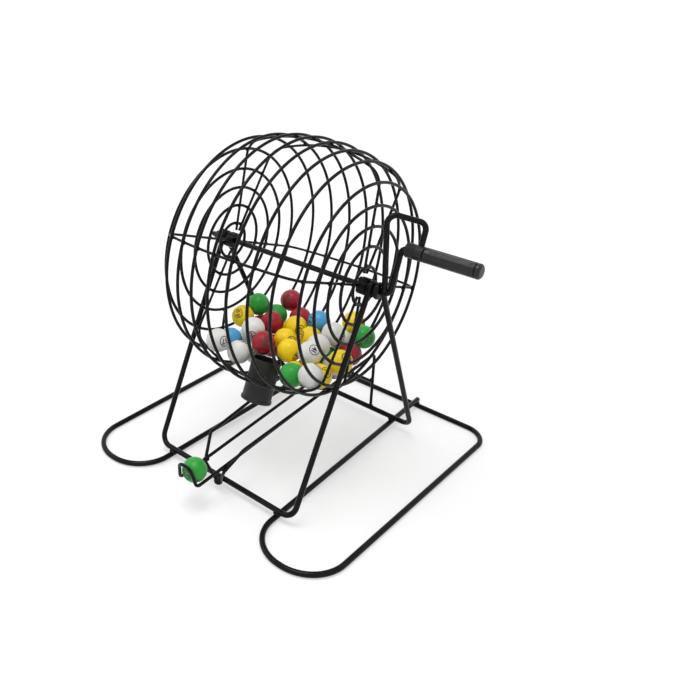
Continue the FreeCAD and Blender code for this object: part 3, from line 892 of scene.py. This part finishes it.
# %% Bend the axle and the brace
CRANK_ANGLE = 20.0
CRANK_RADIUS = 0.040
CRANK_BEND_RADIUS = 0.0045
ARM_X = 0.0998
AXLE_LEFT_X = -0.1005
BRACE_X = ARM_X - STAND_WIRE + WELD_SINK
BRACE_TOP_RADIUS, BRACE_TOP_ANGLE = 0.073, -4.5
BRACE_OUTER_RADIUS = 0.065
BRACE_FOOT_X = 0.116
BRACE_BEND_RADIUS = 0.007
SEAT = 0.0005
GRIP_FROM, GRIP_TO = 0.1209, 0.166
END_CAP_LENGTH = 0.004
CAP_COVER = 0.001
FREE_GAP = 0.0004
CRANK_WELD = (0.0036, 0.0031, 0.0013)
crank_out = drum_point(0, 1, CRANK_ANGLE) - drum_point(0, 0, CRANK_ANGLE)
crank_across = np.cross(X_AXIS, crank_out)


def crank_point(x, radius):
    """A place in the plane of the crank."""
    return drum_point(x, radius, CRANK_ANGLE)


def axle_wire():
    """Axle, arm and pin."""
    pin_end = GRIP_TO + END_CAP_LENGTH - CAP_COVER
    corners = np.array([point(AXLE_LEFT_X, 0, AXLE_HEIGHT), point(ARM_X, 0, AXLE_HEIGHT),
                        crank_point(ARM_X, CRANK_RADIUS), crank_point(pin_end, CRANK_RADIUS)])
    line = bent_line(corners, [CRANK_BEND_RADIUS] * 2)
    return wire_shell(line, STAND_WIRE, crank_across, STAND_SIDES)


def brace_wire():
    """The second wire: up from the axle beside the arm, over, and down onto the pin."""
    corners = np.array([drum_point(BRACE_X, SEAT, BRACE_TOP_ANGLE),
                        drum_point(BRACE_X, BRACE_TOP_RADIUS, BRACE_TOP_ANGLE),
                        crank_point(BRACE_FOOT_X, BRACE_OUTER_RADIUS),
                        crank_point(BRACE_FOOT_X, CRANK_RADIUS + SEAT)])
    line = bent_line(corners, [BRACE_BEND_RADIUS] * 2)
    return wire_shell(line, STAND_WIRE, X_AXIS, STAND_SIDES)


new_piece("axle_and_crank", axle_wire(), enamel_heavy, "drum", ["axle_crank_wire"])
new_piece("brace_wire", brace_wire(), enamel_heavy, "drum", ["crank_brace"])
foot = drum_point(BRACE_X, HALF_WIRE, BRACE_TOP_ANGLE)
seam, half_axes = weld(foot, X_AXIS, Y_AXIS, CRANK_WELD)
crank_weld = pillows(seam[None], half_axes[None], *WELD_GRID)
new_piece("crank_weld", crank_weld, enamel_weld, "drum")
print("crank reaches", round(CRANK_RADIUS * 1000), "mm from the axle")

# %% [markdown]
# ### Hubs, washers and the stop
# All of these start as turned forms: an outline goes once round the axle. Six long hollows
# in the hub's side leave the lobes, and the cross ribs end on two of these. A lobe is made
# by the angle alone: the radius is never more than the distance to the wall of a hollow.

# %% Make the small parts on the axle
HUB_LENGTH = 0.009
HUB_FROM = CAP_X - HUB_LENGTH / 2
HUB_HOLLOWS = 6
HUB_HOLLOW_AT, HUB_HOLLOW_RADIUS = 0.0093, 0.0030
HUB_EDGE, HUB_SIDES = 0.0006, 144
WASHER_RADIUS, WASHER_EDGE = 0.005, 0.0003
AXLE_STOP_RADIUS, AXLE_STOP_EDGE = 0.0045, 0.0007
AXLE_STOP_LENGTH = 0.003
SMALL_SIDES = 40
AXLE_START = point(0, 0, AXLE_HEIGHT)


def hub_lobes(side):
    """The flute function of the hub at one end of the axle.

    A ray at angle b from the middle of a hollow of radius p, whose centre lies at distance
    q, meets its wall at q cos b - sqrt(p^2 - q^2 sin^2 b).
    """
    pitch = 2 * math.pi / HUB_HOLLOWS
    first = math.radians(CROSS_RIB_ANGLE) + pitch / 2

    def factor(along, radius, turn):
        aside = np.mod(-side * turn - first + pitch / 2, pitch) - pitch / 2
        chord = HUB_HOLLOW_RADIUS ** 2 - (HUB_HOLLOW_AT * np.sin(aside)) ** 2
        wall = HUB_HOLLOW_AT * np.cos(aside) - np.sqrt(np.maximum(chord, 0))
        limit = np.where(chord > 0, wall, HUB_RADIUS)
        return np.minimum(radius, limit) / radius

    return factor


hub_outline = pipe_outline(HALF_WIRE, HUB_RADIUS, HUB_FROM, HUB_FROM + HUB_LENGTH, HUB_EDGE)
washer_end = EYE_X[-1] - HALF_WIRE - FREE_GAP
washer = pipe_outline(HALF_WIRE, WASHER_RADIUS, HUB_FROM + HUB_LENGTH, washer_end, WASHER_EDGE)
for side, name in ((-1, "left"), (1, "right")):
    hub = sleeve(hub_outline, AXLE_START, X_AXIS * side, HUB_SIDES, hub_lobes(side))
    new_piece("lobed_hub_" + name, hub, enamel_heavy, "drum", ["hub_" + name])
    new_piece("fibre_washer_" + name, sleeve(washer, AXLE_START, X_AXIS * side, SMALL_SIDES),
              washer_fibre, "drum", ["axle_washer_" + name])
stop_from = EYE_X[1] + HALF_WIRE + 2 * FREE_GAP
stop_to = stop_from + AXLE_STOP_LENGTH
stop = pipe_outline(HALF_WIRE, AXLE_STOP_RADIUS, stop_from, stop_to, AXLE_STOP_EDGE)
new_piece("push_on_stop", sleeve(stop, AXLE_START, -X_AXIS, SMALL_SIDES), tube_plastic, "drum",
          ["axle_stop"])
print("hubs, washers and stop made")

# %% [markdown]
# ### The grip
# The hand holds a moulded sleeve that is free to turn on the pin. Its sides have shallow flat
# flutes, which show as long light bands, and they fade out before the rims. A fixed collar
# with raised rings sits between the grip and the arm.

# %% Mould the grip
GRIP_RADIUS = 0.0065
GRIP_BORE = HALF_WIRE + RUNNING_PLAY
BORE_EDGE, GRIP_EDGE = 0.0003, 0.0012
GRIP_STATIONS, GRIP_SIDES = 24, 120
RIM_SPAN = 0.0014
FLUTES = 10
FLUTE_DEPTH = 0.065
FADE_FROM, FADE_OVER = 0.0016, 0.0035
pin_line = crank_point(0, CRANK_RADIUS)


def detailed_wall(start, end, bore, bore_edge, rim_edge, outside):
    """The cut through a pipe wall with rounded rims, and the outside line let in between them."""
    corners = [(start, bore), (end, bore), (end, GRIP_RADIUS), (start, GRIP_RADIUS)]
    rims = rounded_outline(np.array(corners), [bore_edge, bore_edge, rim_edge, rim_edge])
    at_full_radius = rims[:, 1] > GRIP_RADIUS - 1e-9
    split = np.argmax(rims[:, 1]) + np.count_nonzero(at_full_radius) // 2
    return np.vstack([rims[:split], outside, rims[split:]])


def grip_outline():
    """The grip's wall, with many stations along the outside for the flutes to fade on."""
    along = np.linspace(GRIP_TO - RIM_SPAN, GRIP_FROM + RIM_SPAN, GRIP_STATIONS)
    outside = np.column_stack([along, np.full(len(along), GRIP_RADIUS)])
    return detailed_wall(GRIP_FROM, GRIP_TO, GRIP_BORE, BORE_EDGE, GRIP_EDGE, outside)


def grip_flute(along, radius, turn):
    """Factor 1 - d w |cos(n t / 2)|^1.5 for n flats of depth d round the outside.

    w is 3 s^2 - 2 s^3, with s rising from 0 near a rim to 1; in the bore w is 0.
    """
    ends = np.minimum(along - GRIP_FROM, GRIP_TO - along)
    rise = np.clip((ends - FADE_FROM) / FADE_OVER, 0, 1)
    fade = rise ** 2 * (3 - 2 * rise) * (radius > GRIP_RADIUS * 0.9)
    return 1 - FLUTE_DEPTH * fade * np.abs(np.cos(FLUTES * turn / 2)) ** 1.5


grip = sleeve(grip_outline(), pin_line, X_AXIS, GRIP_SIDES, grip_flute)
new_piece("grip_sleeve", grip, grip_plastic, "grip", ["crank_grip"])
print("grip has", FLUTES, "flutes")

# %% Mould the collar
COLLAR_FROM, COLLAR_TO = 0.1045, 0.1205
COLLAR_STATIONS, COLLAR_SIDES = 96, 64
COLLAR_BORE_EDGE, COLLAR_EDGE = 0.0002, 0.0008
COLLAR_RIM_SPAN = 0.0009
COLLAR_RINGS, RING_PITCH = 4, 0.0018
FIRST_RING, GROOVE_DEPTH = 0.0012, 0.00055


def collar_outline():
    """The collar's wall: raised rings next to the arm, then smooth up to the grip.

    Over the rings the radius is R - g (1 - cos(2 pi a / p)) / 2, with g the depth of a
    groove, p the pitch and a the distance from the end of the last ring.
    """
    along = np.linspace(COLLAR_TO - COLLAR_RIM_SPAN, COLLAR_FROM + COLLAR_RIM_SPAN, COLLAR_STATIONS)
    ring_end = COLLAR_FROM + FIRST_RING + COLLAR_RINGS * RING_PITCH
    wave = 0.5 - 0.5 * np.cos(2 * np.pi * (ring_end - along) / RING_PITCH)
    groove = GROOVE_DEPTH * np.where(along < ring_end, wave, 0)
    outside = np.column_stack([along, GRIP_RADIUS - groove])
    return detailed_wall(COLLAR_FROM, COLLAR_TO, HALF_WIRE, COLLAR_BORE_EDGE, COLLAR_EDGE, outside)


collar = sleeve(collar_outline(), pin_line, X_AXIS, COLLAR_SIDES)
new_piece("grip_collar", collar, grip_plastic, "drum", ["crank_collar"])
print("collar has", COLLAR_RINGS, "rings")

# %% [markdown]
# The cap closes the far end of the grip. Its face is domed, and a socket behind it takes the
# end of the pin, so its outline runs from the middle of the face to the socket's floor.

# %% Mould the end cap
CAP_DOME = 0.0025
CAP_FACE = 0.0014
CAP_EDGE = 0.0003
POLE_RADIUS = 0.0004
DOME_STATIONS, CAP_SIDES = 12, 48


def cap_outline():
    """From the centre of the domed face, over the dome, and into the socket of the pin.

    The dome's edge is a quarter circle of radius c: (end - c + c cos t, R - c + c sin t).
    Both poles are left open by a small circle, which a face closes.
    """
    start = GRIP_TO + FREE_GAP
    end = start + END_CAP_LENGTH
    turn = np.linspace(0, math.pi / 2, DOME_STATIONS)
    dome = np.column_stack([end - CAP_DOME + CAP_DOME * np.cos(turn),
                            GRIP_RADIUS - CAP_DOME + CAP_DOME * np.sin(turn)])
    socket = [(start + CAP_EDGE, GRIP_RADIUS), (start, GRIP_RADIUS - CAP_EDGE),
              (start, HALF_WIRE), (end - CAP_FACE, HALF_WIRE), (end - CAP_FACE, POLE_RADIUS)]
    return np.vstack([[(end, POLE_RADIUS)], dome, socket])


cap = grid_shell(turned_grid(cap_outline(), pin_line, X_AXIS, CAP_SIDES))
new_piece("grip_cap", cap, grip_plastic, "drum", ["grip_end_cap"])
print("cap closes the pin", round(END_CAP_LENGTH * 1000), "mm deep")

# %% [markdown]
# ## The balls
# Each ball is a thin moulded shell closed along its equator, which leaves a faint ridge, and
# it is printed on two sides with a number in a ring. The places come from the frame: every
# point of a ball's surface, moved in along its normal by the radius, lands on its centre.

# %% Find the balls of the frame
BALL_RADIUS = 0.011


def ball_centres(node):
    """Centres of the balls in one node: mid-points of groups of points that share a centre."""
    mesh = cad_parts[node].data
    points = np.zeros(len(mesh.vertices) * 3)
    normals = np.zeros(len(mesh.vertices) * 3)
    mesh.vertices.foreach_get("co", points)
    mesh.vertices.foreach_get("normal", normals)
    points, normals = points.reshape(-1, 3), normals.reshape(-1, 3)
    guess = points - normals * BALL_RADIUS
    centres = []
    while len(points):
        near = np.linalg.norm(guess - guess[0], axis=1) < BALL_RADIUS / 2
        centres.append((points[near].min(axis=0) + points[near].max(axis=0)) / 2)
        guess, points = guess[~near], points[~near]
    return centres


heap = {colour: ball_centres("balls_" + colour) for colour in BALL_COLOURS}
called_centre = ball_centres("called_ball")[0]
print("balls:", {colour: len(centres) for colour, centres in heap.items()})

# %% [markdown]
# A moulded ball is two half shells, and their seam is a ridge of a few hundredths of a
# millimetre. Rows that crowd towards the seam show it and spend no points elsewhere.

# %% Shape one ball
SEAM_HEIGHT, SEAM_WIDTH = 0.00004, math.radians(1.6)
LAST_LATITUDE = math.radians(88)
CROWDING = 1.35
BALL_ROWS, BALL_SIDES = 13, 36


def ball_grid(centre, pole, around):
    """Grid of a ball: radius R - s + s exp(-(b/w)^2), b the latitude from the moulding seam.

    Latitudes are closer together near the seam, so that the ridge is real.
    """
    half = LAST_LATITUDE * np.linspace(0, 1, BALL_ROWS) ** CROWDING
    latitude = np.r_[-half[:0:-1], half][:, None]
    turn = np.linspace(0, 2 * np.pi, BALL_SIDES, endpoint=False)[None, :]
    radius = BALL_RADIUS - SEAM_HEIGHT + SEAM_HEIGHT * np.exp(-(latitude / SEAM_WIDTH) ** 2)
    side = np.cross(pole, around)
    level = np.cos(turn)[..., None] * around + np.sin(turn)[..., None] * side
    ray = np.cos(latitude)[..., None] * level + np.sin(latitude)[..., None] * pole
    return centre + radius[..., None] * ray


def frame_of(direction, rough_up):
    """Three unit vectors: the direction, and right and up on the surface there."""
    direction = unit(direction)
    right = unit(np.cross(rough_up, direction))
    return direction, right, np.cross(direction, right)


print("one ball has", ball_grid(np.zeros(3), Z_AXIS, X_AXIS).shape[:2], "points")

# %% [markdown]
# ### Numbers
# A number is a real piece too. Each digit is cut once from the built-in font, sliced into
# small cells so that it can bend, and wrapped on the ball: a point at distance d from the
# middle of the print goes to the angle d / R away from it.

# %% Cut the digits
DIGIT_HEIGHT = 0.0052
DIGIT_SHARE = 0.72
STROKE_SWELL = 0.00012
INK_HALF = 0.00004
CELL = 0.0007


def cut_digit(text):
    """One digit of the built-in font as a thin wafer, sliced: its points and faces."""
    curve = bpy.data.curves.new("digit", "FONT")
    curve.body = text
    curve.size = DIGIT_HEIGHT / DIGIT_SHARE
    curve.extrude = INK_HALF
    curve.offset = STROKE_SWELL
    curve.resolution_u = 3
    letter = bpy.data.objects.new("digit", curve)
    bpy.context.scene.collection.objects.link(letter)
    bpy.context.view_layer.update()
    mesh = bpy.data.meshes.new_from_object(letter)
    bpy.data.objects.remove(letter)
    bpy.data.curves.remove(curve)
    shape = sliced(mesh)
    bpy.data.meshes.remove(mesh)
    return shape


def sliced(mesh):
    """The mesh cut along a square grid of planes, as plain lists."""
    cutter = bmesh.new()
    cutter.from_mesh(mesh)
    bmesh.ops.remove_doubles(cutter, verts=cutter.verts, dist=1e-6)
    for axis in (X_AXIS, Y_AXIS):
        reach = [vertex.co.dot(Vector(axis)) for vertex in cutter.verts]
        for cut in np.arange(min(reach) + CELL, max(reach), CELL):
            everything = cutter.verts[:] + cutter.edges[:] + cutter.faces[:]
            bmesh.ops.bisect_plane(cutter, geom=everything, plane_co=axis * cut, plane_no=axis)
    cutter.verts.index_update()
    points = np.array([vertex.co for vertex in cutter.verts])
    faces = [[vertex.index for vertex in face.verts] for face in cutter.faces]
    cutter.free()
    return points, faces


digits = {text: cut_digit(text) for text in "0123456789"}
print("digit 8 has", len(digits["8"][1]), "faces")

# %% Wrap a number and its ring on a ball
RING_INNER, RING_OUTER = 0.0043, 0.0050
RING_SEGMENTS = 40
DIGIT_GAP = 0.0004
PRINT_LIFT = 0.00003


def print_ring():
    """The ring of ink round the number: a flat band with a little thickness."""
    outline = np.array([(-INK_HALF, RING_INNER), (-INK_HALF, RING_OUTER),
                        (INK_HALF, RING_OUTER), (INK_HALF, RING_INNER)])
    turn = np.linspace(0, 2 * np.pi, RING_SEGMENTS, endpoint=False)
    spin = np.stack([np.cos(turn), np.sin(turn), 0 * turn], axis=-1)
    grid = outline[:, None, 1:] * spin[None] + outline[:, None, :1] * Z_AXIS
    return grid_shell(grid, closed=True)


def flat_number(number):
    """The digits side by side, centred on the origin, with the ring round them."""
    shells, start = [], 0.0
    for text in str(number):
        points, faces = digits[text]
        low, high = points[:, 0].min(), points[:, 0].max()
        shells.append((points + [start - low, 0, 0], faces))
        start += high - low + DIGIT_GAP
    points, faces = joined(shells)
    points = points - [(start - DIGIT_GAP) / 2, DIGIT_HEIGHT / 2, 0]
    return joined([(points, faces), print_ring()])


def wrapped(shell, centre, direction, up):
    """Flat print on a ball: angle d / R from the middle, in the same compass direction."""
    points, faces = shell
    direction, right, up = frame_of(direction, up)
    distance = np.linalg.norm(points[:, :2], axis=1)
    angle = (distance / BALL_RADIUS)[:, None]
    compass = (points[:, :1] * right + points[:, 1:2] * up) / np.maximum(distance, 1e-9)[:, None]
    ray = np.cos(angle) * direction + np.sin(angle) * compass
    return centre + (BALL_RADIUS + PRINT_LIFT + points[:, 2:]) * ray, faces


print("a two-digit number has", len(flat_number(28)[1]), "faces")

# %% [markdown]
# Each colour has its own fifteen numbers, and a ball in the heap lies any way up. A random
# generator with a fixed seed gives the turns, so the heap is the same in every run.

# %% Put the balls in the cage
NUMBERS_PER_COLOUR = 15
FIRST_NUMBER = {"blue": 1, "red": 16, "white": 31, "green": 46, "yellow": 61}
tumble = np.random.default_rng(21)


def add_ball(name, number, centre, colour, body, stands_for, pole, up):
    """A ball and its print on two opposite sides."""
    pole, around, _ = frame_of(pole, up)
    shell = grid_shell(ball_grid(centre, pole, around))
    new_piece(name, shell, ball_finish[colour], body, stands_for)
    flat = flat_number(number)
    prints = [wrapped(flat, centre, pole, up), wrapped(flat, centre, -pole, up)]
    new_piece(name + "_print", joined(prints), ink, body)


for colour, centres in heap.items():
    numbers = FIRST_NUMBER[colour] + tumble.permutation(NUMBERS_PER_COLOUR)[:len(centres)]
    for number, centre in zip(numbers, centres):
        pole, up = tumble.normal(size=(2, 3))
        add_ball("ball_%02d" % number, number, centre, colour, "stand", ["balls_" + colour],
                 pole, up)
print(sum(len(centres) for centres in heap.values()), "balls in the cage")

# %% [markdown]
# The called ball has rolled down to the stop and shows its number to the front. It rides on
# a body of its own, because it slides along the rails.

# %% Put the called ball on the chute
CALLED_NUMBER = 60
CALLED_UP = unit([0.35, 0, 1])
toward_stop = -Y_AXIS
add_ball("called_ball_%d" % CALLED_NUMBER, CALLED_NUMBER, called_centre, "green", "ball",
         ["called_ball"], toward_stop, CALLED_UP)
print("called ball:", CALLED_NUMBER)

# %% [markdown]
# ## Floor, light and camera
# The floor is pale and plain. It is lit like the object, and a share of white that only the
# camera and the reflections see lifts it to the tone of white paper. So it keeps soft
# shadows, and the lamps stay at a level at which colours come out as they are written.

# %% Lay the floor
FLOOR_REACH = 12.0
FLOOR_WAVES = 40
LIFT_NEAR, LIFT_FAR = 0.45, 0.60
NEAR, FAR = 0.35, 1.6


def white_lift(nodes, links):
    """1 for rays that come straight from the camera, a reflection or clear glass, else 0."""
    rays = nodes.new("ShaderNodeLightPath")
    seen = rays.outputs["Is Camera Ray"]
    for kind in ("Is Glossy Ray", "Is Transmission Ray"):
        either = nodes.new("ShaderNodeMath")
        either.operation = "MAXIMUM"
        links.new(seen, either.inputs[0])
        links.new(rays.outputs[kind], either.inputs[1])
        seen = either.outputs[0]
    return seen


def floor_paint():
    """Matt pale paint; the lift is white light that the floor only shows, and never sheds.

    The lamps light the floor near the object only, so the lift grows with the distance.
    """
    material, nodes, links, shader = new_finish("floor_paint")
    speck = noise(nodes, links, FLOOR_WAVES)
    ramp(nodes, links, speck, [(0.0, 0.55), (1.0, 0.57)], shader.inputs["Base Color"])
    shader.inputs["Roughness"].default_value = 0.9
    shader.inputs["Specular IOR Level"].default_value = 0.0
    shader.inputs["Emission Color"].default_value = (1, 1, 1, 1)
    away = nodes.new("ShaderNodeVectorMath")
    away.operation = "LENGTH"
    links.new(nodes.new("ShaderNodeTexCoord").outputs["Object"], away.inputs[0])
    share = nodes.new("ShaderNodeMapRange")
    links.new(away.outputs["Value"], share.inputs["Value"])
    limits = {"From Min": NEAR, "From Max": FAR, "To Min": LIFT_NEAR, "To Max": LIFT_FAR}
    for socket, value in limits.items():
        share.inputs[socket].default_value = value
    lift = nodes.new("ShaderNodeMath")
    lift.operation = "MULTIPLY"
    links.new(share.outputs["Result"], lift.inputs[1])
    links.new(white_lift(nodes, links), lift.inputs[0])
    links.new(lift.outputs[0], shader.inputs["Emission Strength"])
    return material


floor_mesh = bpy.data.meshes.new("floor")
floor_corners = FLOOR_REACH * np.array([[-1, -1, 0], [1, -1, 0], [1, 1, 0], [-1, 1, 0]])
floor_mesh.from_pydata(floor_corners.tolist(), [], [(0, 1, 2, 3)])
floor_mesh.materials.append(floor_paint())
floor = bpy.data.objects.new("floor", floor_mesh)
bpy.context.scene.collection.objects.link(floor)
print("floor laid at z = 0")

# %% [markdown]
# A white world lights the object from all sides, as a tent would. One soft box above adds a
# gentle shade under the balls, and a narrow strip on the left draws the long highlights on
# the wire. The world is seen as pure white, and it lights a little less than that.

# %% Set the lights
WORLD_LEVEL = 0.75
LAMPS_AIM = (0, 0, 0.15)
SOFT_BOX_PLACE, SOFT_BOX_SIZE, SOFT_BOX_POWER = (-0.05, -0.25, 1.5), (0.7, 0.7), 9
STRIP_PLACE, STRIP_SIZE, STRIP_POWER = (-1.2, -0.5, 1.2), (1.5, 0.14), 3


def area_light(name, place, size, power):
    """A rectangular lamp that faces the middle of the object."""
    light = bpy.data.lights.new(name, "AREA")
    light.shape = "RECTANGLE"
    light.size, light.size_y = size
    light.energy = power
    lamp = bpy.data.objects.new(name, light)
    lamp.location = place
    lamp.rotation_euler = (Vector(LAMPS_AIM) - Vector(place)).to_track_quat("-Z", "Y").to_euler()
    bpy.context.scene.collection.objects.link(lamp)


world = bpy.data.worlds.new("studio")
world.use_nodes = True
nodes, links = world.node_tree.nodes, world.node_tree.links
sky = nodes["Background"]
level = nodes.new("ShaderNodeMapRange")
level.inputs["To Min"].default_value = WORLD_LEVEL
level.inputs["To Max"].default_value = 1.0
links.new(white_lift(nodes, links), level.inputs["Value"])
links.new(level.outputs["Result"], sky.inputs["Strength"])
sky.inputs["Color"].default_value = (1, 1, 1, 1)
bpy.context.scene.world = world
area_light("soft_box_top", SOFT_BOX_PLACE, SOFT_BOX_SIZE, SOFT_BOX_POWER)
area_light("strip_left", STRIP_PLACE, STRIP_SIZE, STRIP_POWER)
print("lights set, world at", WORLD_LEVEL)

# %% [markdown]
# The camera stands in front, on the crank's side, and looks down about 20 degrees. Its lens
# is shifted, as on a view camera, which moves the object in the frame while the camera
# itself keeps its direction.

# %% Aim the camera
CAMERA_PLACE = (0.4369, -0.5714, 0.4994)
CAMERA_TURN = 44.10
CAMERA_DROP = 20.12
LENS = 44.22
SENSOR = 36.0
SHIFT = (0.2120, -0.1943)

camera_data = bpy.data.cameras.new("camera")
camera_data.lens = LENS
camera_data.sensor_width = SENSOR
camera_data.shift_x, camera_data.shift_y = SHIFT
camera_data.clip_start = 0.01
camera = bpy.data.objects.new("camera", camera_data)
camera.location = CAMERA_PLACE
camera.rotation_euler = (math.radians(90 - CAMERA_DROP), 0, math.radians(CAMERA_TURN))
bpy.context.scene.collection.objects.link(camera)
bpy.context.scene.camera = camera
bpy.context.scene.view_settings.view_transform = "Standard"
print("camera aimed with a", LENS, "mm lens")
